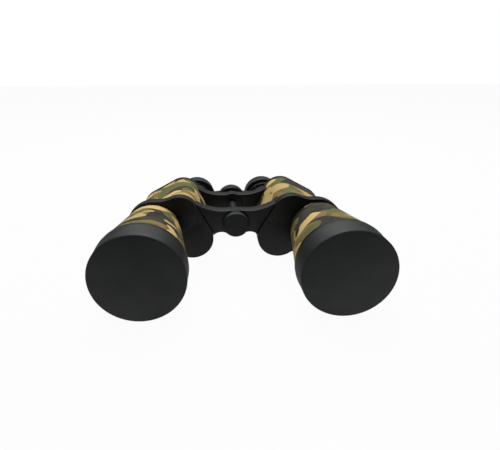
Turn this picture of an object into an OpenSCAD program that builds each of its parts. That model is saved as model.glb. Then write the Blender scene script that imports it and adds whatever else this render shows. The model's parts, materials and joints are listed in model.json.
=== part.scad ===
// Porro-prism binoculars with a central focusing wheel and push-on objective caps.
// The hinge axis runs along Y, objectives face -Y, and the part rests on Z = 0.
// Left and right are as seen from the objective end, so left is -X.

/* [Optics] */
// Diameter of each objective lens
objective_d = 52; // [46:1:54]
// Distance of each objective axis from the hinge plane
objective_x = 66.1; // [64:0.1:74]
// How far each objective axis lies below the hinge axis
objective_drop = 4.9; // [2:0.1:8]
// Distance of each eyepiece axis from the hinge plane
eyepiece_x = 34; // [33:0.1:36]
// How far each eyepiece axis lies below the hinge axis
eyepiece_drop = 7; // [6:0.1:8]
// Half the length of a prism's long face
prism_half_length = 17; // [13:0.5:17]
// Half the width of a prism
prism_half_width = 7; // [5:0.5:7]

/* [Body] */
// Length from the bezel flange to the front cover
barrel_length = 53; // [40:1:80]
// Length from the front cover's face to the rear cover's face
housing_length = 55; // [52:1:70]
// Outer radius of the wrapped barrel where it meets the front cover
barrel_neck_r = 22; // [20.5:0.1:23]
// Outer radius of the wrapped barrel behind the bezel
barrel_mouth_r = 30.4; // [29:0.1:31]
// Thickness of the moulded camouflage wrap
wrap_t = 0.8; // [0.5:0.1:1]
// Wall of the cast housing
housing_wall = 1.5; // [1.2:0.1:1.8]
// Wall of the barrels
barrel_wall = 1.6; // [1.2:0.1:2.2]
// Thickness of the cover plates
cover_t = 2.5; // [2:0.1:3]
// Depth of the front cover's rim
front_rim = 7.5; // [5:0.5:9]
// Depth of the rear cover's rim
rear_rim = 4.2; // [3.5:0.1:5]

/* [Hinge] */
// Radius of the front hinge knuckles
knuckle_r = 10.5; // [9.5:0.1:11]
// Radius of the rear hinge knuckles
rear_knuckle_r = 9.6; // [9:0.1:10.5]
// Thickness of each bridge, front to back
bridge_t = 8.6; // [7:0.1:9.5]
// Height of the front bridge's top above the hinge axis
front_bridge_top = 10; // [8:0.5:11]
// Height of the rear bridge's top above the hinge axis
rear_bridge_top = 8.4; // [7:0.1:9.5]
// Radius of the bare hinge tube between the bridges
hinge_tube_r = 3.2; // [3:0.1:4]
// Radius of the cap that covers the tripod socket
hinge_cap_r = 10.2; // [8:0.1:10.4]
// How far that cap stands out from the front bridge
hinge_cap_t = 5.6; // [3:0.1:8]
// Wall radius of the tripod socket
tripod_socket_r = 2.55; // [2.4:0.05:2.7]

/* [Focusing] */
// Radius of the focusing wheel
wheel_r = 12.5; // [11:0.5:14]
// Width of the focusing wheel
wheel_t = 9; // [7:0.5:9]
// Radius of the focusing spindle
spindle_r = 2; // [1.6:0.1:2.1]
// Outer radius of the sliding eyepiece barrels
ocular_r = 11.5; // [10.5:0.1:11.6]
// Focusing travel either way
focus_travel = 3; // [2:0.5:3]
// Dioptre travel either way
diopter_travel = 1; // [0.5:0.1:1]

/* [Caps and cups] */
// Radius of an objective cap at its face
cap_r = 31; // [30.9:0.1:32]
// Length of an objective cap's rim
cap_length = 15; // [12:0.5:15]
// Thickness of an objective cap's face
cap_face_t = 2.2; // [1.5:0.1:2.2]
// Largest radius of an eyecup
eyecup_r = 19.2; // [18.4:0.1:20]

/* [Hidden] */
$fn = 72;

// Clearances
slide_gap = 0.08;      // sliding and turning fits
seat_gap = 0.05;       // parts seated in each other
part_gap = 0.3;        // faces that pass close by

// Axes of one half, as [x, z] from the hinge axis
hinge_axis = [0, 0];
objective_axis = [objective_x, -objective_drop];
eyepiece_axis = [eyepiece_x, -eyepiece_drop];

// The housing is three lobes joined by straight tangents
upper_lobe = [objective_x - 21.2, 7.4];
upper_lobe_r = 15.6;
lower_lobe = [eyepiece_x + 1.5, -eyepiece_drop - 6];
lower_lobe_r = 17.35;
outer_lobe = [objective_x - 0.6, 0.4 - objective_drop];
outer_lobe_r = 16.2;
// The front cover widens round the barrel, with a fillet above and below
barrel_lobe = [objective_x - 1.9, 0.8 - objective_drop];
barrel_lobe_r = 23.7;
top_fillet_r = 22;
under_fillet_r = 11;

// Stations along Y, from the face of the objective caps
bezel_y = 3;
flange_y = cap_length + 0.4;
barrel_y = flange_y + 2.6;
cover_y = barrel_y + barrel_length;
cover_end_y = cover_y + front_rim;
housing_y = cover_y + cover_t;
rear_face_y = cover_y + housing_length;
housing_end_y = rear_face_y - cover_t;
rear_rim_y = rear_face_y - rear_rim;
shelf_y = (housing_y + housing_end_y) / 2;
shelf_t = 2.5;
front_bridge_y = cover_y + 1.5;
front_bridge_end_y = front_bridge_y + bridge_t;
rear_bridge_end_y = rear_face_y - 1.8;
rear_bridge_y = rear_bridge_end_y - bridge_t;
nut_y = rear_bridge_end_y + part_gap;
nut_end_y = nut_y + 2;
wheel_y = nut_end_y + part_gap;
wheel_end_y = wheel_y + wheel_t;
axle_end_y = wheel_end_y - 2.2;
arm_y = wheel_end_y + focus_travel + 0.9;
arm_end_y = arm_y + 6;
arm_mid_y = (arm_y + arm_end_y) / 2;
diopter_y = arm_end_y + part_gap;
diopter_end_y = diopter_y + 4;
socket_end_y = arm_y - focus_travel - part_gap;
ocular_y = rear_face_y + 0.4 + focus_travel + diopter_travel;
ocular_head_y = diopter_end_y + diopter_travel + part_gap;
ocular_end_y = ocular_head_y + 14.8;
eyecup_y = ocular_head_y + 0.8;
overall_length = ocular_end_y + 2.5;
lug_y = rear_rim_y - 14;
lug_t = 3.5;

// Radii
bezel_r = cap_r - 1.3;
lens_r = objective_d / 2;
lens_bore_r = lens_r + 0.1;
bezel_spigot_r = lens_bore_r + 1.2;
flange_r = barrel_mouth_r + 0.5;
cap_bead_r = cap_r + 0.3;
spigot_r = 11.4;
lock_ring_r = 12.6;
socket_r = ocular_r + 1.5;
socket_flange_r = socket_r + 0.8;
socket_spigot_r = 9.6;
ocular_bore_r = ocular_r - 1.5;
eyepiece_lens_r = ocular_bore_r - seat_gap;
ocular_head_r = 15.8;
diopter_r = 16.5;
journal_r = 4.5;
axle_head_r = 6;
cap_recess_r = 4.6;
hub_r = 6;
arm_ring_r = 14.2;
wrap_inset = 0.3;
wall_inset = wrap_inset + wrap_t + seat_gap;
hinge_height = objective_drop + cap_bead_r;
arc_step = 5;

// Lens stations
crown_front_y = 5.2;
crown_edge_y = 7.35;
crown_edge_end_y = 9.5;
crown_rear_y = 12.35;
flint_end_y = 14;
field_lens_y = ocular_y + 1.6;
field_lens_end_y = field_lens_y + 3.5;
eye_lens_y = ocular_end_y - 8;
eye_lens_end_y = ocular_end_y - 4;

// Geometry helpers
function unit(v) = v / norm(v);
function turned(v) = [-v[1], v[0]];
function tangent_normal(c1, r1, c2, r2, side) =
    let (u = unit(c2 - c1), k = (r1 - r2) / norm(c2 - c1))
    u * k + turned(u) * side * sqrt(1 - k * k);
function crossing(c1, r1, c2, r2, side) =
    let (d = norm(c2 - c1), a = (d * d + r1 * r1 - r2 * r2) / (2 * d))
    c1 + unit(c2 - c1) * a + turned(unit(c2 - c1)) * side * sqrt(r1 * r1 - a * a);
function heading(v) = atan2(v[1], v[0]);
function polar(r, a) = r * [cos(a), sin(a)];

// Points of an arc turning left from one direction to another
function arc(c, r, from, to) =
    let (a = heading(from), turn = (heading(to) - a + 360) % 360, n = ceil(turn / arc_step))
    [for (i = [0 : n]) c + polar(r, a + turn * i / n)];
// Points of an arc turning right, without its ends
function inner_arc(c, r, from, to) =
    let (a = heading(from), turn = (a - heading(to) + 360) % 360, n = ceil(turn / arc_step))
    [for (i = [1 : n - 1]) c + polar(r, a - turn * i / n)];

// Points of a lens surface from one radius to another; way is 1 where the edge lies behind the middle
function lens_surface(r0, r1, y, ball_r, way) = [
    for (i = [0 : 8]) let (x = r0 + (r1 - r0) * i / 8) [x, y + way * (ball_r - sqrt(ball_r * ball_r - x * x))]
];

// The light leaves the rear prism and enters the front one at the corner axis
prism_shift = norm(eyepiece_axis - objective_axis) / sqrt(2);
corner_axis = crossing(objective_axis, prism_shift, eyepiece_axis, prism_shift, -1);

// Screws, as [x, z]
rear_screws = [
    upper_lobe + [-5, 10],
    lower_lobe + [3, -12.2],
    outer_lobe + [9.4, -7.8]
];
front_screw = [upper_lobe[0] - 16, 2.3];
boss_r = 2.4;
tapping_r = 0.8;
rear_head_r = 2;
front_head_r = 1.7;

// Extrudes a profile drawn in X and Z from y0 to y1
module slab(y0, y1) {
    translate([0, y1, 0]) rotate([90, 0, 0]) linear_extrude(y1 - y0) children();
}

// A cylinder along Y
module rod(axis, y0, y1, r) {
    translate([axis[0], y0, axis[1]]) rotate([-90, 0, 0]) cylinder(h = y1 - y0, r = r);
}

// A turned piece along Y, from points of [radius, y]
module lathe(axis, points) {
    translate([axis[0], 0, axis[1]]) rotate([-90, 0, 0]) rotate_extrude() polygon(points);
}

module tube(axis, y0, y1, r_out, r_in) {
    lathe(axis, [[r_in, y0], [r_out, y0], [r_out, y1], [r_in, y1]]);
}

// The right half is drawn, and the left one is its mirror image
module side(is_left) {
    mirror([is_left ? 1 : 0, 0, 0]) children();
}

// Everything is drawn from the cap face and the hinge axis, then set on Z = 0
module placed() {
    translate([0, -overall_length / 2, hinge_height]) children();
}

module lobe(c, r) {
    translate(c) circle(r);
}

// The housing's outline: round each lobe from one tangent to the next
upper_normal = tangent_normal(outer_lobe, outer_lobe_r, upper_lobe, upper_lobe_r, -1);
hinge_normal = tangent_normal(upper_lobe, upper_lobe_r, lower_lobe, lower_lobe_r, -1);
under_normal = tangent_normal(lower_lobe, lower_lobe_r, outer_lobe, outer_lobe_r, -1);

module housing_outline(inset = 0) {
    polygon(concat(
        arc(upper_lobe, upper_lobe_r - inset, upper_normal, hinge_normal),
        arc(lower_lobe, lower_lobe_r - inset, hinge_normal, under_normal),
        arc(outer_lobe, outer_lobe_r - inset, under_normal, upper_normal)
    ));
}

// The front cover swells round the barrel, with a concave fillet on each side of it
top_fillet = crossing(upper_lobe, upper_lobe_r + top_fillet_r, barrel_lobe, barrel_lobe_r + top_fillet_r, 1);
under_fillet = crossing(
    lower_lobe, lower_lobe_r + under_fillet_r, barrel_lobe, barrel_lobe_r + under_fillet_r, -1
);

module front_cover_outline() {
    polygon(concat(
        arc(upper_lobe, upper_lobe_r, top_fillet - upper_lobe, hinge_normal),
        arc(lower_lobe, lower_lobe_r, hinge_normal, under_fillet - lower_lobe),
        inner_arc(under_fillet, under_fillet_r, lower_lobe - under_fillet, barrel_lobe - under_fillet),
        arc(barrel_lobe, barrel_lobe_r, under_fillet - barrel_lobe, top_fillet - barrel_lobe),
        inner_arc(top_fillet, top_fillet_r, barrel_lobe - top_fillet, upper_lobe - top_fillet)
    ));
}

// Bridge arm from the hinge to the housing, waisted above and below
module arm_outline(top) {
    sag_x = 10;
    sag_r = 39;
    under = -8.1;
    under_x = 11.5;
    under_r = 9;
    difference() {
        polygon([
            [0, under], [0, top - 0.6], [4, top + 0.4], [5, top + 6],
            [34, top + 6], [34, -12], [18, -12], [under_x, under - 2]
        ]);
        translate([sag_x, top + sag_r]) circle(sag_r);
        translate([under_x, under - under_r]) circle(under_r);
    }
}

// One bridge arm with its half-thickness knuckle; the other half's knuckle laps it
module bridge_arm(y, top, r, front_knuckle) {
    end = y + bridge_t;
    mid = y + bridge_t / 2;
    own_y = front_knuckle ? y : mid + part_gap / 2;
    own_end = front_knuckle ? mid - part_gap / 2 : end;
    slab(y, end) difference() {
        arm_outline(top);
        circle(r + part_gap);
    }
    slab(own_y, own_end) {
        circle(r);
        intersection() {
            arm_outline(top);
            circle(r + part_gap + 0.1);
        }
    }
}

// Housing casting: a wall round the prisms, a shelf across it and two bridge arms
module housing(is_left) {
    front_bore_r = is_left ? axle_head_r + seat_gap : journal_r + slide_gap;
    rear_bore_r = journal_r + (is_left ? seat_gap : slide_gap);
    side(is_left) difference() {
        union() {
            slab(housing_y, housing_end_y) difference() {
                housing_outline(wall_inset);
                housing_outline(wall_inset + housing_wall);
            }
            slab(shelf_y - shelf_t / 2, shelf_y + shelf_t / 2) housing_outline(wall_inset + 0.1);
            for (s = rear_screws) rod(s, housing_end_y - 14, housing_end_y, boss_r);
            rod(front_screw, housing_y, housing_y + 8, boss_r);
            difference() {
                union() {
                    bridge_arm(front_bridge_y, front_bridge_top, knuckle_r, is_left);
                    bridge_arm(rear_bridge_y, rear_bridge_top, rear_knuckle_r, is_left);
                }
                slab(front_bridge_y - 1, rear_face_y) housing_outline(wall_inset + 0.1);
                // the covers' rims pass between the arms and the wall
                slab(front_bridge_y - 1, cover_end_y + part_gap) housing_outline(-part_gap);
                slab(rear_rim_y - part_gap, rear_face_y) housing_outline(-part_gap);
            }
        }
        for (a = [objective_axis, corner_axis, eyepiece_axis]) rod(a, shelf_y - 3, shelf_y + 3, 6.4);
        for (s = rear_screws) rod(s, housing_end_y - 8, housing_end_y + 1, tapping_r);
        rod(front_screw, housing_y - 1, housing_y + 6, tapping_r);
        rod(hinge_axis, front_bridge_y - 1, front_bridge_end_y + 1, front_bore_r);
        rod(hinge_axis, rear_bridge_y - 1, rear_bridge_end_y + 1, rear_bore_r);
    }
}

module front_cover(is_left) {
    side(is_left) difference() {
        slab(cover_y, cover_end_y) front_cover_outline();
        slab(housing_y, cover_end_y + 1) housing_outline(wall_inset - seat_gap);
        rod(objective_axis, cover_y - 1, housing_y + 1, spigot_r + seat_gap);
        rod(front_screw, cover_y - 1, housing_y + 1, tapping_r + seat_gap);
        rod(front_screw, cover_y - 1, cover_y + 1.3, front_head_r + 0.1);
    }
}

module rear_cover(is_left) {
    side(is_left) difference() {
        slab(rear_rim_y, rear_face_y) housing_outline();
        slab(rear_rim_y - 1, housing_end_y) housing_outline(wall_inset - seat_gap);
        rod(eyepiece_axis, housing_end_y - 1, rear_face_y + 1, socket_spigot_r + seat_gap);
        for (s = rear_screws) {
            rod(s, housing_end_y - 1, rear_face_y + 1, tapping_r + seat_gap);
            rod(s, rear_face_y - 1.3, rear_face_y + 1, rear_head_r + 0.1);
        }
    }
}

// Wrap round the housing, open where the bridge arms and the strap lug come through
module body_wrap(is_left) {
    side(is_left) difference() {
        slab(cover_end_y + 0.1, rear_rim_y - 0.1) difference() {
            housing_outline(wrap_inset);
            housing_outline(wrap_inset + wrap_t);
        }
        slab(front_bridge_y, front_bridge_end_y + part_gap) arm_opening(front_bridge_top);
        slab(rear_bridge_y - part_gap, rear_bridge_end_y) arm_opening(rear_bridge_top);
        slab(lug_y - part_gap, lug_y + lug_t + part_gap) lug_stem(part_gap);
    }
}

module arm_opening(top) {
    arm_outline(top + part_gap);
    translate([0, -part_gap]) arm_outline(top);
}

module barrel(is_left) {
    r0 = barrel_mouth_r - wrap_t - seat_gap;
    r1 = barrel_neck_r - wrap_t - seat_gap;
    spigot_end = housing_y + 2.4;
    side(is_left) lathe(objective_axis, [
        [bezel_spigot_r + seat_gap, barrel_y],
        [r0, barrel_y],
        [r1, cover_y],
        [spigot_r, cover_y],
        [spigot_r, spigot_end],
        [spigot_r - 1.2, spigot_end],
        [spigot_r - 1.2, cover_y - 2],
        [r1 - barrel_wall, cover_y - 2],
        [bezel_spigot_r - 0.6, barrel_y + 3.4],
        [bezel_spigot_r + seat_gap, barrel_y + 3.4]
    ]);
}

module barrel_wrap(is_left) {
    side(is_left) lathe(objective_axis, [
        [barrel_mouth_r - wrap_t, barrel_y + 0.1],
        [barrel_mouth_r, barrel_y + 0.1],
        [barrel_neck_r, cover_y - 0.1],
        [barrel_neck_r - wrap_t, cover_y - 0.1]
    ]);
}

module barrel_lock_ring(is_left) {
    side(is_left) tube(objective_axis, housing_y + 0.1, housing_y + 2.2, lock_ring_r, spigot_r + seat_gap);
}

// Ring that holds the objective lens, with the flange seen behind the cap
module bezel(is_left) {
    side(is_left) lathe(objective_axis, [
        [lens_r - 0.8, crown_edge_y - 0.15],
        [lens_r - 0.8, crown_edge_y - 1.4],
        [lens_r + 0.8, bezel_y],
        [bezel_r - 0.4, bezel_y],
        [bezel_r, bezel_y + 0.4],
        [bezel_r, flange_y],
        [flange_r, flange_y],
        [flange_r, barrel_y],
        [bezel_spigot_r, barrel_y],
        [bezel_spigot_r, barrel_y + 3],
        [lens_bore_r, barrel_y + 3],
        [lens_bore_r, crown_edge_y - 0.1]
    ]);
}

crown_front_sag = crown_edge_y - crown_front_y;
crown_rear_sag = crown_rear_y - crown_edge_end_y;
crown_front_r = (lens_r * lens_r / crown_front_sag + crown_front_sag) / 2;
crown_rear_r = (lens_r * lens_r / crown_rear_sag + crown_rear_sag) / 2;

// Front element of the objective, convex both sides
module crown_lens(is_left) {
    side(is_left) lathe(objective_axis, concat(
        lens_surface(0, lens_r, crown_front_y, crown_front_r, 1),
        lens_surface(lens_r, 0, crown_rear_y, crown_rear_r, -1)
    ));
}

// Rear element of the objective, hollow at the front and flat behind
module flint_lens(is_left) {
    side(is_left) lathe(objective_axis, concat(
        lens_surface(0, lens_r, crown_rear_y + seat_gap, crown_rear_r, -1),
        [[lens_r, flint_end_y], [0, flint_end_y]]
    ));
}

module lens_retainer(is_left) {
    side(is_left)
        tube(objective_axis, flint_end_y + seat_gap, flint_end_y + 3, lens_bore_r - seat_gap, lens_r - 1.4);
}

module objective_cap(is_left) {
    bore_r = bezel_r + slide_gap;
    side(is_left) lathe(objective_axis, [
        [0, 0],
        [cap_r - 1, 0],
        [cap_r - 0.3, 0.3],
        [cap_r, 1],
        [cap_r, cap_length - 3],
        [cap_bead_r, cap_length - 2],
        [cap_bead_r, cap_length],
        [bore_r, cap_length],
        [bore_r, cap_face_t],
        [0, cap_face_t]
    ]);
}

// Profile of a right-angle prism with trimmed tips, grown by some margin
module prism_profile(margin) {
    l = prism_half_length + margin;
    polygon([[-l, 0], [l, 0], [l, 1], [1.5, l - 0.5], [-1.5, l - 0.5], [-l, 1]]);
}

// Stands a profile on the shelf, spanning from one light axis to another
module on_shelf(from, to, faces_front, width) {
    c = (from + to) / 2;
    y = shelf_t / 2 + seat_gap;
    translate([c[0], faces_front ? shelf_y - y : shelf_y + y, c[1]])
        rotate([0, -heading(to - from), 0])
        mirror([0, faces_front ? 1 : 0, 0])
        translate([0, 0, -width / 2])
        linear_extrude(width)
        children();
}

module front_prism(is_left) {
    side(is_left) on_shelf(corner_axis, eyepiece_axis, true, 2 * prism_half_width) prism_profile(0);
}

module rear_prism(is_left) {
    side(is_left) on_shelf(objective_axis, corner_axis, false, 2 * prism_half_width) prism_profile(0);
}

// Spring straps that hold both prisms down on the shelf
module strap_profile() {
    foot = prism_half_length + 1.6;
    difference() {
        union() {
            prism_profile(0.6);
            translate([-foot, 0]) square([2 * foot, 0.5]);
        }
        translate([0, -1]) square([2 * prism_half_length + 0.2, 2], center = true);
        prism_profile(0.1);
    }
}

module prism_clips(is_left) {
    side(is_left) {
        on_shelf(corner_axis, eyepiece_axis, true, 5) strap_profile();
        on_shelf(objective_axis, corner_axis, false, 5) strap_profile();
    }
}

module eyepiece_socket(is_left) {
    base_end = rear_face_y + 1.8;
    bore_r = ocular_r + slide_gap;
    side(is_left) lathe(eyepiece_axis, [
        [socket_spigot_r - 1.1, housing_end_y + 0.1],
        [socket_spigot_r, housing_end_y + 0.1],
        [socket_spigot_r, rear_face_y + seat_gap],
        [socket_flange_r, rear_face_y + seat_gap],
        [socket_flange_r, base_end],
        [socket_r, base_end],
        [socket_r, socket_end_y],
        [bore_r, socket_end_y],
        [bore_r, rear_face_y + 0.3],
        [socket_spigot_r - 1.1, rear_face_y + 0.3]
    ]);
}

// Slotted screw; it points forward when faces_rear is true
module screw(axis, y, r, faces_rear) {
    way = faces_rear ? 1 : -1;
    translate([axis[0], y, axis[1]]) rotate([90 * way, 0, 0]) difference() {
        union() {
            cylinder(h = 1.1, r = r);
            cylinder(h = 6.5, r = tapping_r - 0.02);
        }
        translate([-r, -0.25, -1]) cube([2 * r, 0.5, 1.5]);
    }
}

module cover_screws(is_left) {
    side(is_left) {
        for (s = rear_screws) screw(s, rear_face_y - 0.15, rear_head_r, true);
        screw(front_screw, cover_y + 0.15, front_head_r, false);
    }
}

lug_angle = -10;
lug_reach = outer_lobe_r + 3.6;

module lug_stem(room) {
    translate(outer_lobe) rotate(lug_angle)
        translate([outer_lobe_r - wall_inset + seat_gap - 2 * room, -2.5 - room])
            square([4.6 + 2 * room, 5 + 2 * room]);
}

module strap_lug(is_left) {
    side(is_left) slab(lug_y, lug_y + lug_t) difference() {
        union() {
            lug_stem(0);
            translate(outer_lobe) rotate(lug_angle) translate([lug_reach, 0]) circle(4.4);
        }
        housing_outline(wall_inset - seat_gap);
        translate(outer_lobe) rotate(lug_angle) translate([lug_reach, 0]) circle(2.2);
    }
}

// Sliding eyepiece tube; the left one has a fixed collar where the right has the dioptre ring
module ocular_barrel(is_left) {
    collar_r = is_left ? ocular_head_r - 1.3 : ocular_r;
    side(is_left) lathe(eyepiece_axis, [
        [ocular_bore_r, ocular_y],
        [ocular_r, ocular_y],
        [ocular_r, diopter_y],
        [collar_r, diopter_y],
        [collar_r, ocular_head_y],
        [ocular_head_r, ocular_head_y],
        [ocular_head_r, ocular_end_y],
        [ocular_bore_r + 3, ocular_end_y],
        [ocular_bore_r - 0.8, eye_lens_end_y + 1],
        [ocular_bore_r - 0.8, eye_lens_end_y + seat_gap],
        [ocular_bore_r, eye_lens_end_y + seat_gap]
    ]);
}

module eyepiece_lens(is_left, y0, y1, ball_r) {
    side(is_left) lathe(eyepiece_axis, concat(
        lens_surface(0, eyepiece_lens_r, y0, ball_r, 1),
        [[eyepiece_lens_r, y1], [0, y1]]
    ));
}

module field_lens(is_left) {
    eyepiece_lens(is_left, field_lens_y, field_lens_end_y, 24);
}

module eye_lens(is_left) {
    eyepiece_lens(is_left, eye_lens_y, eye_lens_end_y, 22);
}

// Spacer between the two eyepiece lenses, with the field stop in the middle
module field_stop(is_left) {
    y0 = field_lens_end_y + seat_gap;
    y1 = eye_lens_y + 1.9;
    mid = (y0 + y1) / 2;
    wall_r = eyepiece_lens_r - 0.8;
    side(is_left) difference() {
        tube(eyepiece_axis, y0, y1, eyepiece_lens_r, wall_r - 2.5);
        rod(eyepiece_axis, y0 - 1, mid - 0.5, wall_r);
        rod(eyepiece_axis, mid + 0.5, y1 + 1, wall_r);
    }
}

module eyecup(is_left) {
    grip_r = eyecup_r - 1.5;
    seat_r = ocular_head_r + seat_gap;
    mouth_r = ocular_bore_r + 3.4;
    side(is_left) lathe(eyepiece_axis, [
        [seat_r, eyecup_y],
        [eyecup_r - 0.6, eyecup_y],
        [eyecup_r, eyecup_y + 0.6],
        [eyecup_r, eyecup_y + 3],
        [grip_r, eyecup_y + 4],
        [grip_r, overall_length - 0.8],
        [grip_r - 0.8, overall_length],
        [mouth_r + 0.8, overall_length],
        [mouth_r, overall_length - 0.8],
        [mouth_r, ocular_end_y + seat_gap],
        [seat_r, ocular_end_y + seat_gap]
    ]);
}

module arm_web() {
    across = turned(unit(eyepiece_axis));
    polygon([4 * across, eyepiece_axis + 7 * across, eyepiece_axis - 7 * across, -4 * across]);
}

// Arm that carries an eyepiece on the focusing spindle; the two hubs lap each other
module ocular_arm(is_left) {
    hub_y = is_left ? arm_y : arm_mid_y + part_gap / 2;
    hub_end_y = is_left ? arm_mid_y - part_gap / 2 : arm_end_y;
    fit = is_left ? seat_gap : slide_gap;
    side(is_left) difference() {
        union() {
            slab(hub_y, hub_end_y) {
                circle(hub_r);
                arm_web();
            }
            slab(arm_y, arm_end_y) difference() {
                union() {
                    lobe(eyepiece_axis, arm_ring_r);
                    arm_web();
                }
                circle(hub_r + part_gap);
            }
        }
        rod(eyepiece_axis, arm_y - 1, arm_end_y + 1, ocular_r + fit);
        rod(hinge_axis, arm_y - 1, arm_end_y + 1, spindle_r + fit);
    }
}

module diopter_ring_shape() {
    tube(eyepiece_axis, diopter_y, diopter_end_y, diopter_r, ocular_r + slide_gap);
}

// Hinge axle: head with the tripod socket, two journals and a tail for the wheel
module axle_shape() {
    front_mid = front_bridge_y + bridge_t / 2;
    difference() {
        union() {
            rod(hinge_axis, front_bridge_y, front_mid - part_gap / 2, axle_head_r);
            rod(hinge_axis, front_bridge_y, front_bridge_end_y, journal_r);
            rod(hinge_axis, front_bridge_y, rear_face_y, hinge_tube_r);
            rod(hinge_axis, rear_bridge_y, axle_end_y, journal_r);
        }
        rod(hinge_axis, front_bridge_y - 1, front_bridge_y + 2, cap_recess_r);
        rod(hinge_axis, front_bridge_y - 1, front_bridge_end_y - 0.5, tripod_socket_r);
        rod(hinge_axis, rear_bridge_y - 20, axle_end_y + 1, spindle_r + 0.3);
    }
}

module hinge_cap_shape() {
    face_y = front_bridge_y - part_gap - hinge_cap_t;
    lathe(hinge_axis, [
        [0, face_y],
        [hinge_cap_r - 0.8, face_y],
        [hinge_cap_r, face_y + 0.8],
        [hinge_cap_r, front_bridge_y - part_gap],
        [cap_recess_r - slide_gap, front_bridge_y - part_gap],
        [cap_recess_r - slide_gap, front_bridge_y + 1.2],
        [0, front_bridge_y + 1.2]
    ]);
}

module wheel_shape() {
    rim_r = wheel_r - 0.5;
    groove_r = wheel_r - 1.4;
    bore_r = journal_r + slide_gap;
    lathe(hinge_axis, [
        [bore_r, wheel_y],
        [rim_r - 0.4, wheel_y],
        [rim_r, wheel_y + 0.4],
        [rim_r, wheel_y + 1],
        [groove_r, wheel_y + 1],
        [groove_r, wheel_end_y - 1],
        [rim_r, wheel_end_y - 1],
        [rim_r, wheel_end_y - 0.4],
        [rim_r - 0.4, wheel_end_y],
        [spindle_r + slide_gap, wheel_end_y],
        [spindle_r + slide_gap, axle_end_y + part_gap],
        [bore_r, axle_end_y + part_gap]
    ]);
}

casting = [0.13, 0.13, 0.13];
cover_black = [0.08, 0.08, 0.07];
camo = [0.45, 0.4, 0.28];
rubber = [0.1, 0.1, 0.1];
steel = [0.6, 0.6, 0.62];
brass = [0.7, 0.58, 0.3];
lens_glass = [0.7, 0.82, 0.85];

// Nodes
module left_housing() { color(casting) placed() housing(true); }
module left_front_cover() { color(cover_black) placed() front_cover(true); }
module left_rear_cover() { color(cover_black) placed() rear_cover(true); }
module left_body_wrap() { color(camo) placed() body_wrap(true); }
module left_barrel() { color(casting) placed() barrel(true); }
module left_barrel_wrap() { color(camo) placed() barrel_wrap(true); }
module left_barrel_lock_ring() { color(brass) placed() barrel_lock_ring(true); }
module left_bezel() { color(cover_black) placed() bezel(true); }
module left_crown_lens() { color(lens_glass) placed() crown_lens(true); }
module left_flint_lens() { color(lens_glass) placed() flint_lens(true); }
module left_lens_retainer() { color(casting) placed() lens_retainer(true); }
module left_front_prism() { color(lens_glass) placed() front_prism(true); }
module left_rear_prism() { color(lens_glass) placed() rear_prism(true); }
module left_prism_clips() { color(steel) placed() prism_clips(true); }
module left_eyepiece_socket() { color(casting) placed() eyepiece_socket(true); }
module left_cover_screws() { color(steel) placed() cover_screws(true); }
module left_strap_lug() { color(steel) placed() strap_lug(true); }
module left_objective_cap() { color(rubber) placed() objective_cap(true); }
module left_ocular_barrel() { color(casting) placed() ocular_barrel(true); }
module left_field_lens() { color(lens_glass) placed() field_lens(true); }
module left_eye_lens() { color(lens_glass) placed() eye_lens(true); }
module left_field_stop() { color(casting) placed() field_stop(true); }
module left_eyecup() { color(rubber) placed() eyecup(true); }
module left_ocular_arm() { color(casting) placed() ocular_arm(true); }
module right_housing() { color(casting) placed() housing(false); }
module right_front_cover() { color(cover_black) placed() front_cover(false); }
module right_rear_cover() { color(cover_black) placed() rear_cover(false); }
module right_body_wrap() { color(camo) placed() body_wrap(false); }
module right_barrel() { color(casting) placed() barrel(false); }
module right_barrel_wrap() { color(camo) placed() barrel_wrap(false); }
module right_barrel_lock_ring() { color(brass) placed() barrel_lock_ring(false); }
module right_bezel() { color(cover_black) placed() bezel(false); }
module right_crown_lens() { color(lens_glass) placed() crown_lens(false); }
module right_flint_lens() { color(lens_glass) placed() flint_lens(false); }
module right_lens_retainer() { color(casting) placed() lens_retainer(false); }
module right_front_prism() { color(lens_glass) placed() front_prism(false); }
module right_rear_prism() { color(lens_glass) placed() rear_prism(false); }
module right_prism_clips() { color(steel) placed() prism_clips(false); }
module right_eyepiece_socket() { color(casting) placed() eyepiece_socket(false); }
module right_cover_screws() { color(steel) placed() cover_screws(false); }
module right_strap_lug() { color(steel) placed() strap_lug(false); }
module right_objective_cap() { color(rubber) placed() objective_cap(false); }
module right_ocular_barrel() { color(casting) placed() ocular_barrel(false); }
module right_field_lens() { color(lens_glass) placed() field_lens(false); }
module right_eye_lens() { color(lens_glass) placed() eye_lens(false); }
module right_field_stop() { color(casting) placed() field_stop(false); }
module right_eyecup() { color(rubber) placed() eyecup(false); }
module right_ocular_arm() { color(casting) placed() ocular_arm(false); }
module diopter_ring() { color(cover_black) placed() diopter_ring_shape(); }
module hinge_axle() { color(steel) placed() axle_shape(); }
module hinge_nut() { color(steel) placed() tube(hinge_axis, nut_y, nut_end_y, 7.6, journal_r + seat_gap); }
module hinge_cap() { color(cover_black) placed() hinge_cap_shape(); }
module focus_wheel() { color(casting) placed() wheel_shape(); }
module focus_wheel_grip() {
    color(rubber) placed() tube(hinge_axis, wheel_y + 1.1, wheel_end_y - 1.1, wheel_r, wheel_r - 1.35);
}
module focus_spindle() {
    color(steel) placed() rod(hinge_axis, rear_bridge_y - 15, arm_end_y + 2.8, spindle_r);
}
module spindle_nut() {
    color(steel) placed()
        tube(hinge_axis, arm_end_y + part_gap, arm_end_y + 2.8, 3.6, spindle_r + seat_gap);
}

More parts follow.
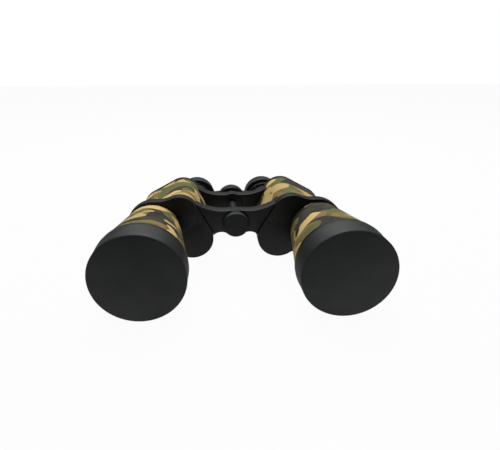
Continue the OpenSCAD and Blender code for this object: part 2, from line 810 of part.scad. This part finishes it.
left_housing();
left_front_cover();
left_rear_cover();
left_body_wrap();
left_barrel();
left_barrel_wrap();
left_barrel_lock_ring();
left_bezel();
left_crown_lens();
left_flint_lens();
left_lens_retainer();
left_front_prism();
left_rear_prism();
left_prism_clips();
left_eyepiece_socket();
left_cover_screws();
left_strap_lug();
left_objective_cap();
left_ocular_barrel();
left_field_lens();
left_eye_lens();
left_field_stop();
left_eyecup();
left_ocular_arm();
right_housing();
right_front_cover();
right_rear_cover();
right_body_wrap();
right_barrel();
right_barrel_wrap();
right_barrel_lock_ring();
right_bezel();
right_crown_lens();
right_flint_lens();
right_lens_retainer();
right_front_prism();
right_rear_prism();
right_prism_clips();
right_eyepiece_socket();
right_cover_screws();
right_strap_lug();
right_objective_cap();
right_ocular_barrel();
right_field_lens();
right_eye_lens();
right_field_stop();
right_eyecup();
right_ocular_arm();
diopter_ring();
hinge_axle();
hinge_nut();
hinge_cap();
focus_wheel();
focus_wheel_grip();
focus_spindle();
spindle_nut();
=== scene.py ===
"""Porro-prism binoculars in camouflage leathercloth, resting on a pale floor.

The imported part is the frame. Castings, covers, caps and eyecups get eased edges, the
grips get ribs, and every surface gets the finish of the real material.
"""
import json
import math

import bmesh
import bpy
from mathutils import Matrix, Vector

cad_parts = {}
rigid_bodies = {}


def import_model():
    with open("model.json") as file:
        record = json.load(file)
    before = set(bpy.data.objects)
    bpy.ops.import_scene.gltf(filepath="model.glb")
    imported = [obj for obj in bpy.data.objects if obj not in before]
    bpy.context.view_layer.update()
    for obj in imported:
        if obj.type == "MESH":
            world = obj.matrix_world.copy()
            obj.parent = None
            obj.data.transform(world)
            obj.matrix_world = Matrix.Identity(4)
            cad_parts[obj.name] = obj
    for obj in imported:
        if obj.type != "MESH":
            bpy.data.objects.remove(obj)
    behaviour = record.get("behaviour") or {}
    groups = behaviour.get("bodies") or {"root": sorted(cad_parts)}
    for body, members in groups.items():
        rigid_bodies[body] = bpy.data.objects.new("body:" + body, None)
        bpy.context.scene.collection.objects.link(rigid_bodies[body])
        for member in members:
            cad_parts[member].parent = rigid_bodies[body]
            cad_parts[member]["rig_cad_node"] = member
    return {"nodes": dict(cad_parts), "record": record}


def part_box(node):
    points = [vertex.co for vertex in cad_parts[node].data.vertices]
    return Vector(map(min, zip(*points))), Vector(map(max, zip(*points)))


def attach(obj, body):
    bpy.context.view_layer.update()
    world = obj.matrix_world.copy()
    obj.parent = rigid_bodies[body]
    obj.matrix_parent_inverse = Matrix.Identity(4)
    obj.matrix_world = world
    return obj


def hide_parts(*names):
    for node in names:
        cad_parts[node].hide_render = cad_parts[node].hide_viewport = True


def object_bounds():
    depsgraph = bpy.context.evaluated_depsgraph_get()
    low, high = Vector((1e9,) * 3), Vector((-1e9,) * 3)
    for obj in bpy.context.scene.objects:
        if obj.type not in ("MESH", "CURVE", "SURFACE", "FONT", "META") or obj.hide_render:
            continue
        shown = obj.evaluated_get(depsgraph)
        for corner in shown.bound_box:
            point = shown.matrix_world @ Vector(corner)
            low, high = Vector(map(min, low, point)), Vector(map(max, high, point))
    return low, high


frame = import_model()
cad_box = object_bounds()
body_of_node = {
    node: body
    for body, nodes in frame["record"]["behaviour"]["bodies"].items()
    for node in nodes
}
slot_of_node = {part["node"]: part["material_slot"] for part in frame["record"]["subparts"]}
SIDES = ("left", "right")
MM = 0.001


# ---------------------------------------------------------------- colour and nodes

def colour(hex_text):
    """An sRGB hex colour as linear red, green, blue and alpha."""
    values = [int(hex_text[i:i + 2], 16) / 255 for i in (1, 3, 5)]
    return [v / 12.92 if v <= 0.04045 else ((v + 0.055) / 1.055) ** 2.4 for v in values] + [1.0]


def add(tree, kind, inputs=None, **settings):
    """Adds a node, with its settings, and fills or links its inputs by name or number."""
    made = tree.nodes.new(kind)
    for name, value in settings.items():
        setattr(made, name, value)
    for name, value in (inputs or {}).items():
        if isinstance(value, bpy.types.NodeSocket):
            tree.links.new(value, made.inputs[name])
        else:
            made.inputs[name].default_value = value
    return made


def per_metre(size_mm):
    """Texture scale at which one feature is about this many millimetres wide."""
    return 1000 / size_mm


def start_material(name):
    material = bpy.data.materials.new(name)
    material.use_nodes = True
    tree = material.node_tree
    tree.nodes.clear()
    place = add(tree, "ShaderNodeTexCoord").outputs["Object"]
    return material, tree, place


def close_material(tree, shader):
    add(tree, "ShaderNodeOutputMaterial", {"Surface": shader.outputs[0]})


def mixed(tree, factor, first, second, blend="MIX"):
    """Colour mix of two colours, either of which may be a socket."""
    mix = add(tree, "ShaderNodeMix", {0: factor, 6: first, 7: second}, data_type="RGBA", blend_type=blend)
    return mix.outputs[2]


def noise(tree, place, size_mm, detail=2.0, distortion=0.0, w=0.0):
    return add(
        tree, "ShaderNodeTexNoise",
        {"Vector": place, "W": w, "Scale": per_metre(size_mm), "Detail": detail, "Distortion": distortion},
        noise_dimensions="4D",
    ).outputs["Fac"]


def stretched(tree, value, low, high, to_low=0.0, to_high=1.0):
    return add(tree, "ShaderNodeMapRange", {0: value, 1: low, 2: high, 3: to_low, 4: to_high}).outputs[0]


# ---------------------------------------------------------------- finishes

def moulded_rubber(name, base, dust=0.0):
    """Matte moulded rubber: an even dull black with a fine sand-blasted grain, and dust where asked."""
    material, tree, place = start_material(name)
    grain = noise(tree, place, 0.5, detail=3.0)
    patches = noise(tree, place, 14, detail=3.0, w=4.0)
    body = mixed(tree, stretched(tree, patches, 0.35, 0.65), colour(base[0]), colour(base[1]))
    if dust:
        specks = add(
            tree, "ShaderNodeTexVoronoi",
            {"Vector": place, "Scale": per_metre(4.5), "Randomness": 1.0},
        )
        near = stretched(tree, specks.outputs["Distance"], 0.035, 0.06, 1.0, 0.0)
        chosen = add(tree, "ShaderNodeSeparateColor", {"Color": specks.outputs["Color"]}).outputs[0]
        shown = stretched(tree, chosen, 0.72, 0.74, 0.0, dust)
        amount = add(tree, "ShaderNodeMath", {0: near, 1: shown}, operation="MULTIPLY").outputs[0]
        body = mixed(tree, amount, body, colour("#8d8f8c"))
    bump = add(tree, "ShaderNodeBump", {"Height": grain, "Strength": 0.25, "Distance": 0.12 * MM})
    shader = add(tree, "ShaderNodeBsdfPrincipled", {
        "Base Color": body,
        "Roughness": stretched(tree, patches, 0.3, 0.7, 0.56, 0.66),
        "IOR": 1.52,
        "Specular IOR Level": 0.3,
        "Normal": bump.outputs[0],
    })
    close_material(tree, shader)
    return material


def satin_enamel(name, base, roughness, peel_mm=0.7):
    """A thin satin black coat, as of stoved enamel, anodising or blacking, with a faint orange peel."""
    material, tree, place = start_material(name)
    peel = noise(tree, place, peel_mm, detail=2.0)
    clouds = noise(tree, place, 18, detail=2.0, w=2.0)
    body = mixed(tree, stretched(tree, clouds, 0.35, 0.65), colour(base[0]), colour(base[1]))
    bump = add(tree, "ShaderNodeBump", {"Height": peel, "Strength": 0.15, "Distance": 0.1 * MM})
    shader = add(tree, "ShaderNodeBsdfPrincipled", {
        "Base Color": body,
        "Roughness": stretched(tree, clouds, 0.3, 0.7, roughness - 0.04, roughness + 0.05),
        "IOR": 1.5,
        "Specular IOR Level": 0.25,
        "Normal": bump.outputs[0],
    })
    close_material(tree, shader)
    return material


def camouflage_leathercloth(name, seed):
    """Printed leathercloth: sharp-edged patches of sand, tan, olive and charcoal over a fine grain."""
    material, tree, place = start_material(name)
    stretch = add(tree, "ShaderNodeMapping", {"Vector": place, "Scale": (0.85, 1.5, 1.05)}).outputs[0]
    cloth = colour("#b3985d")
    # each ink: colour, feature size in mm, noise level above which it prints, distortion, offset in the noise
    layers = (
        ("#7a643a", 40, 0.50, 0.9, 1.3),
        ("#55592e", 36, 0.53, 1.0, 7.7),
        ("#1d1d19", 33, 0.548, 1.1, 3.1),
        ("#c6ab71", 32, 0.62, 0.9, 9.4),
    )
    for ink, size_mm, edge, distortion, offset in layers:
        patch = noise(tree, stretch, size_mm, detail=0.6, distortion=distortion, w=seed + offset)
        cloth = mixed(tree, stretched(tree, patch, edge - 0.004, edge + 0.004), cloth, colour(ink))
    # the cloth's threads are near 0.4 mm, drawn at 0.7 mm so that they show
    thread = noise(tree, place, 0.7, detail=2.0)
    fade = noise(tree, place, 9, detail=3.0, w=5.0)
    cloth = mixed(tree, stretched(tree, thread, 0.3, 0.7, 0.0, 0.22), cloth, colour("#1c1a14"))
    cloth = mixed(tree, stretched(tree, fade, 0.35, 0.7, 0.0, 0.05), cloth, colour("#e2cf9f"))
    bump = add(tree, "ShaderNodeBump", {"Height": thread, "Strength": 0.5, "Distance": 0.15 * MM})
    shader = add(tree, "ShaderNodeBsdfPrincipled", {
        "Base Color": cloth,
        "Roughness": stretched(tree, thread, 0.3, 0.7, 0.72, 0.86),
        "IOR": 1.5,
        "Specular IOR Level": 0.25,
        "Normal": bump.outputs[0],
    })
    close_material(tree, shader)
    return material


def turned_metal(name, tint, roughness, groove_mm=0.35):
    """Lathe-turned metal: fine rings round the axis give it a streaked shine."""
    material, tree, place = start_material(name)
    along = add(tree, "ShaderNodeMapping", {"Vector": place, "Scale": (0.05, 1.0, 0.05)}).outputs[0]
    rings = noise(tree, along, groove_mm, detail=3.0)
    bump = add(tree, "ShaderNodeBump", {"Height": rings, "Strength": 0.2, "Distance": 0.05 * MM})
    shader = add(tree, "ShaderNodeBsdfPrincipled", {
        "Base Color": mixed(tree, rings, colour(tint[0]), colour(tint[1])),
        "Metallic": 1.0,
        "Roughness": stretched(tree, rings, 0.3, 0.7, roughness - 0.05, roughness + 0.08),
        "Normal": bump.outputs[0],
    })
    close_material(tree, shader)
    return material


def optical_glass(name, tint, film):
    """Polished optical glass: clear, with the faint colour of its coating at the rim."""
    material, tree, place = start_material(name)
    rim = add(tree, "ShaderNodeLayerWeight", {"Blend": 0.25}).outputs["Facing"]
    haze = noise(tree, place, 6, detail=2.0)
    shader = add(tree, "ShaderNodeBsdfPrincipled", {
        "Base Color": mixed(tree, rim, colour(tint), colour(film)),
        "Roughness": stretched(tree, haze, 0.3, 0.7, 0.01, 0.03),
        "IOR": 1.52,
        "Transmission Weight": 1.0,
    })
    close_material(tree, shader)
    return material


def printed_mark(name):
    """Screen-printed white ink, slightly uneven."""
    material, tree, place = start_material(name)
    thin = noise(tree, place, 0.3, detail=2.0)
    shader = add(tree, "ShaderNodeBsdfPrincipled", {
        "Base Color": mixed(tree, thin, colour("#b8b8b4"), colour("#dededa")),
        "Roughness": 0.6,
    })
    close_material(tree, shader)
    return material


cap_rubber = moulded_rubber("moulded_cap_rubber", ("#1b1d1d", "#1f2121"), dust=0.6)
eyecup_rubber = moulded_rubber("moulded_eyecup_rubber", ("#1e1f1f", "#222323"), dust=0.2)
grip_rubber = moulded_rubber("moulded_grip_rubber", ("#1c1d1d", "#202121"))
cover_enamel = satin_enamel("satin_cover_enamel", ("#0b0b0a", "#0f0f0e"), 0.5)
casting_enamel = satin_enamel("satin_casting_enamel", ("#171919", "#1b1d1d"), 0.52)
hinge_plastic = satin_enamel("matte_hinge_cap_plastic", ("#1f2121", "#232525"), 0.6, peel_mm=0.5)
black_anodised = satin_enamel("black_anodised_aluminium", ("#1b1c1d", "#212223"), 0.42, peel_mm=0.4)
black_steel = satin_enamel("blackened_screw_steel", ("#242424", "#2c2c2b"), 0.35, peel_mm=0.3)
camo_cloth = camouflage_leathercloth("camouflage_leathercloth", 23.0)
turned_alloy = turned_metal("turned_barrel_alloy", ("#6f7072", "#8b8c8e"), 0.4)
turned_brass = turned_metal("turned_brass", ("#a8873f", "#c9a85c"), 0.3)
spring_steel = turned_metal("spring_steel", ("#8f9092", "#b4b5b7"), 0.28)
coated_glass = optical_glass("coated_lens_glass", "#e6f2f4", "#8fa7c4")
prism_glass = optical_glass("polished_prism_glass", "#f2f7f6", "#dfe9ea")
white_ink = printed_mark("white_scale_ink")

FINISH_OF_SLOT = {
    "casting": casting_enamel, "cover": cover_enamel, "barrel_alloy": turned_alloy,
    "black_alloy": black_anodised, "camo_wrap": camo_cloth, "brass_ring": turned_brass,
    "coated_glass": coated_glass, "prism_glass": prism_glass, "spring_steel": spring_steel,
    "screw_steel": black_steel, "axle_steel": black_anodised, "hinge_cap_plastic": hinge_plastic,
    "cap_rubber": cap_rubber, "eyecup_rubber": eyecup_rubber, "grip_rubber": grip_rubber,
}


# ---------------------------------------------------------------- pieces

def plain_mesh(piece):
    """Turns a piece and its modifiers into one plain mesh, eased edges shaded smooth."""
    evaluated = piece.evaluated_get(bpy.context.evaluated_depsgraph_get())
    made = bpy.data.meshes.new_from_object(evaluated)
    piece.modifiers.clear()
    piece.data = made
    made.polygons.foreach_set("use_smooth", [True] * len(made.polygons))
    made.set_sharp_from_angle(angle=math.radians(32))


def stand_in(node, name):
    """A copy of a CAD node's mesh, joined up, that rides where the node does and stands for it."""
    mesh = frame["nodes"][node].data.copy()
    joined = bmesh.new()
    joined.from_mesh(mesh)
    bmesh.ops.remove_doubles(joined, verts=joined.verts, dist=0.002 * MM)
    bmesh.ops.dissolve_limit(
        joined, angle_limit=math.radians(0.6), verts=joined.verts, edges=joined.edges
    )
    joined.to_mesh(mesh)
    joined.free()
    piece = bpy.data.objects.new(name, mesh)
    bpy.context.scene.collection.objects.link(piece)
    mesh.materials.clear()
    mesh.materials.append(FINISH_OF_SLOT[slot_of_node[node]])
    return piece


def settle(piece, node):
    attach(piece, body_of_node[node])
    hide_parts(node)


def ease_edges(piece, width_mm, segments=3):
    bevel = piece.modifiers.new("eased_edges", "BEVEL")
    bevel.limit_method = "ANGLE"
    bevel.angle_limit = math.radians(38)
    bevel.width = width_mm * MM
    bevel.segments = segments
    bevel.use_clamp_overlap = True


def eased(node, width_mm, segments=3):
    """A CAD node with its sharp edges rounded, as casting and moulding leave them."""
    piece = stand_in(node, f"{node}_eased")
    ease_edges(piece, width_mm, segments)
    plain_mesh(piece)
    settle(piece, node)
    return piece


def rib_tree():
    """Geometry nodes that set round ribs, parallel to Y, on a circle round a band."""
    tree = bpy.data.node_groups.new("ribs_round_a_band", "GeometryNodeTree")
    for name, kind in (
        ("Band", "NodeSocketGeometry"), ("Centre", "NodeSocketVector"), ("Radius", "NodeSocketFloat"),
        ("Rib Radius", "NodeSocketFloat"), ("Rib Length", "NodeSocketFloat"),
        ("Rib Count", "NodeSocketInt"), ("Finish", "NodeSocketMaterial"),
    ):
        tree.interface.new_socket(name, in_out="INPUT", socket_type=kind)
    tree.interface.new_socket("Ribbed Band", in_out="OUTPUT", socket_type="NodeSocketGeometry")
    given = add(tree, "NodeGroupInput").outputs
    quarter_turn = (math.pi / 2, 0.0, 0.0)
    rib = add(tree, "GeometryNodeMeshCylinder", {
        "Vertices": 8, "Radius": given["Rib Radius"], "Depth": given["Rib Length"],
    })
    rib = add(tree, "GeometryNodeTransform", {"Geometry": rib.outputs["Mesh"], "Rotation": quarter_turn})
    circle = add(tree, "GeometryNodeMeshCircle", {"Vertices": given["Rib Count"], "Radius": given["Radius"]})
    circle = add(tree, "GeometryNodeTransform", {
        "Geometry": circle.outputs["Mesh"], "Translation": given["Centre"], "Rotation": quarter_turn,
    })
    ribs = add(tree, "GeometryNodeInstanceOnPoints", {
        "Points": circle.outputs["Geometry"], "Instance": rib.outputs["Geometry"],
    })
    both = add(tree, "GeometryNodeJoinGeometry")
    tree.links.new(given["Band"], both.inputs[0])
    tree.links.new(ribs.outputs[0], both.inputs[0])
    real = add(tree, "GeometryNodeRealizeInstances", {"Geometry": both.outputs[0]})
    done = add(tree, "GeometryNodeSetMaterial", {"Geometry": real.outputs[0], "Material": given["Finish"]})
    add(tree, "NodeGroupOutput", {0: done.outputs[0]})
    return tree


RIBS = rib_tree()


def ribbed(node, width_mm, count, rib_mm, start_mm, end_mm, radius_mm):
    """An eased band with ribs moulded round it, between two distances from its front edge."""
    low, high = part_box(node)
    centre = (Vector(low) + Vector(high)) / 2
    centre.y = low[1] + (start_mm + end_mm) / 2 * MM
    piece = stand_in(node, f"{node}_ribbed")
    ease_edges(piece, width_mm)
    sizes = {
        "Centre": centre, "Radius": radius_mm * MM, "Rib Radius": rib_mm * MM,
        "Rib Length": (end_mm - start_mm) * MM, "Rib Count": count,
        "Finish": FINISH_OF_SLOT[slot_of_node[node]],
    }
    ribs = piece.modifiers.new("ribs", "NODES")
    ribs.node_group = RIBS
    for socket in RIBS.interface.items_tree:
        if socket.in_out == "INPUT" and socket.name in sizes:
            ribs[socket.identifier] = sizes[socket.name]
    plain_mesh(piece)
    settle(piece, node)
    return piece


for side in SIDES:
    eased(f"{side}_housing", 0.6)
    eased(f"{side}_front_cover", 0.7, segments=4)
    eased(f"{side}_rear_cover", 0.7, segments=4)
    eased(f"{side}_bezel", 0.3)
    eased(f"{side}_objective_cap", 0.4, segments=3)
    eased(f"{side}_eyepiece_socket", 0.3)
    eased(f"{side}_ocular_arm", 0.6)
    eased(f"{side}_ocular_barrel", 0.4)
    eased(f"{side}_strap_lug", 0.4)
    eased(f"{side}_cover_screws", 0.12, segments=2)
    ribbed(f"{side}_eyecup", 0.5, count=48, rib_mm=0.45, start_mm=5.6, end_mm=13.5, radius_mm=17.6)
eased("hinge_cap", 0.7, segments=4)
eased("spindle_nut", 0.5)
eased("focus_wheel", 0.3)
ribbed("focus_wheel_grip", 0.3, count=44, rib_mm=0.5, start_mm=0.5, end_mm=6.3, radius_mm=12.1)
ribbed("diopter_ring", 0.4, count=56, rib_mm=0.5, start_mm=0.7, end_mm=3.3, radius_mm=16.1)


def scale_marks():
    """A generic dioptre scale: short printed ticks on the ring's front face, the middle one longer."""
    inner_r, long_tick, short_tick = 14.2 * MM, 1.9 * MM, 1.1 * MM
    ink_thickness, tick_width, proud = 0.08 * MM, 0.35 * MM, 0.02 * MM
    middle_angle, step_angle, steps_each_way = 125, 9, 4
    low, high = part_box("diopter_ring")
    centre = (Vector(low) + Vector(high)) / 2
    face = low[1] - proud
    marks = bmesh.new()
    for step in range(-steps_each_way, steps_each_way + 1):
        angle = math.radians(middle_angle + step_angle * step)
        length = long_tick if step == 0 else short_tick
        size = Matrix.Diagonal((length, ink_thickness, tick_width, 1.0))
        out = Matrix.Translation((inner_r + length / 2, 0, 0))
        turn = Matrix.Rotation(-angle, 4, "Y")
        place = Matrix.Translation((centre.x, face, centre.z))
        bmesh.ops.create_cube(marks, size=1.0, matrix=place @ turn @ out @ size)
    mesh = bpy.data.meshes.new("diopter_scale_marks")
    marks.to_mesh(mesh)
    marks.free()
    mesh.materials.append(white_ink)
    piece = bpy.data.objects.new("diopter_scale_marks", mesh)
    bpy.context.scene.collection.objects.link(piece)
    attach(piece, "diopter_ring")


scale_marks()

# the other CAD nodes keep their shape and get their finish
for node, cad_object in frame["nodes"].items():
    if cad_object.data and "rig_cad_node" in cad_object:
        for place in cad_object.material_slots:
            place.material = FINISH_OF_SLOT[slot_of_node[node]]


# ---------------------------------------------------------------- floor, light and camera

FLOOR_HALF_WIDTH = 4.0
# the rest of what the camera sees is the lit paint, which carries the shadow
FLOOR_GLOW_SHARE = 0.965


def pale_floor():
    """A grey-painted floor that the camera sees as near white, with the object's faint shadow."""
    material, tree, place = start_material("grey_painted_floor")
    cloud = noise(tree, place, 180, detail=2.0)
    paint = add(tree, "ShaderNodeBsdfDiffuse", {
        "Color": mixed(tree, cloud, colour("#b4b4b4"), colour("#bababa")),
    })
    white = add(tree, "ShaderNodeEmission", {"Color": (1, 1, 1, 1), "Strength": 1.0})
    path = add(tree, "ShaderNodeLightPath").outputs
    direct = {0: path["Is Camera Ray"], 1: path["Is Glossy Ray"]}
    seen = add(tree, "ShaderNodeMath", direct, operation="MAXIMUM")
    through = {0: seen.outputs[0], 1: path["Is Transmission Ray"]}
    seen = add(tree, "ShaderNodeMath", through, operation="MAXIMUM")
    share = add(tree, "ShaderNodeMath", {0: seen.outputs[0], 1: FLOOR_GLOW_SHARE}, operation="MULTIPLY")
    shader = add(tree, "ShaderNodeMixShader", {0: share.outputs[0], 1: paint.outputs[0], 2: white.outputs[0]})
    close_material(tree, shader)
    mesh = bpy.data.meshes.new("floor")
    half = FLOOR_HALF_WIDTH
    corners = [(-half, -half, 0), (half, -half, 0), (half, half, 0), (-half, half, 0)]
    mesh.from_pydata(corners, [], [(0, 1, 2, 3)])
    mesh.materials.append(material)
    floor = bpy.data.objects.new("floor", mesh)
    bpy.context.scene.collection.objects.link(floor)


def white_world(strength):
    """An even pale surround that the camera sees as white."""
    world = bpy.data.worlds.new("studio")
    bpy.context.scene.world = world
    world.use_nodes = True
    tree = world.node_tree
    tree.nodes.clear()
    light = add(tree, "ShaderNodeBackground", {"Color": (1, 1, 1, 1), "Strength": strength})
    white = add(tree, "ShaderNodeBackground", {"Color": (1, 1, 1, 1), "Strength": 1.0})
    path = add(tree, "ShaderNodeLightPath").outputs
    direct = {0: path["Is Camera Ray"], 1: path["Is Transmission Ray"]}
    seen = add(tree, "ShaderNodeMath", direct, operation="MAXIMUM")
    shader = add(tree, "ShaderNodeMixShader", {0: seen.outputs[0], 1: light.outputs[0], 2: white.outputs[0]})
    add(tree, "ShaderNodeOutputWorld", {"Surface": shader.outputs[0]})


def softbox(name, place, aim, size, power):
    light = bpy.data.lights.new(name, "AREA")
    light.shape = "RECTANGLE"
    light.size, light.size_y = size
    light.energy = power
    lamp = bpy.data.objects.new(name, light)
    lamp.location = place
    lamp.rotation_euler = (Vector(aim) - Vector(place)).to_track_quat("-Z", "Y").to_euler()
    bpy.context.scene.collection.objects.link(lamp)


pale_floor()
white_world(0.12)
softbox("overhead_softbox", (0.0, 0.4, 1.05), (0.0, 0.0, 0.0), (1.2, 0.9), 21.0)


def front_camera():
    """Camera in front of the caps, looking down at about 20 degrees."""
    front = cad_box[0][1]
    cap_low, cap_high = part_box("hinge_cap")
    hinge_height = (cap_low[2] + cap_high[2]) / 2
    azimuth, elevation, roll = (math.radians(a) for a in (-1.94, 20.15, -0.28))
    distance = 273.85 * MM
    aim = Vector((-11.82 * MM, front + 75 * MM, hinge_height + 20.36 * MM))
    back = Vector((
        math.sin(azimuth) * math.cos(elevation),
        -math.cos(azimuth) * math.cos(elevation),
        math.sin(elevation),
    ))
    level = Vector((math.cos(azimuth), math.sin(azimuth), 0))
    above = back.cross(level)
    right = level * math.cos(roll) + above * math.sin(roll)
    up = above * math.cos(roll) - level * math.sin(roll)
    lens = bpy.data.cameras.new("camera")
    lens.sensor_width = 36
    lens.lens = 24.86
    lens.shift_x = 0.0582
    lens.shift_y = -0.0536
    lens.clip_start = 0.01
    camera = bpy.data.objects.new("camera", lens)
    turn = Matrix((right, up, back)).transposed()
    camera.matrix_world = Matrix.Translation(aim + back * distance) @ turn.to_4x4()
    bpy.context.scene.collection.objects.link(camera)
    bpy.context.scene.camera = camera


front_camera()
bpy.context.scene.view_settings.view_transform = "Standard"
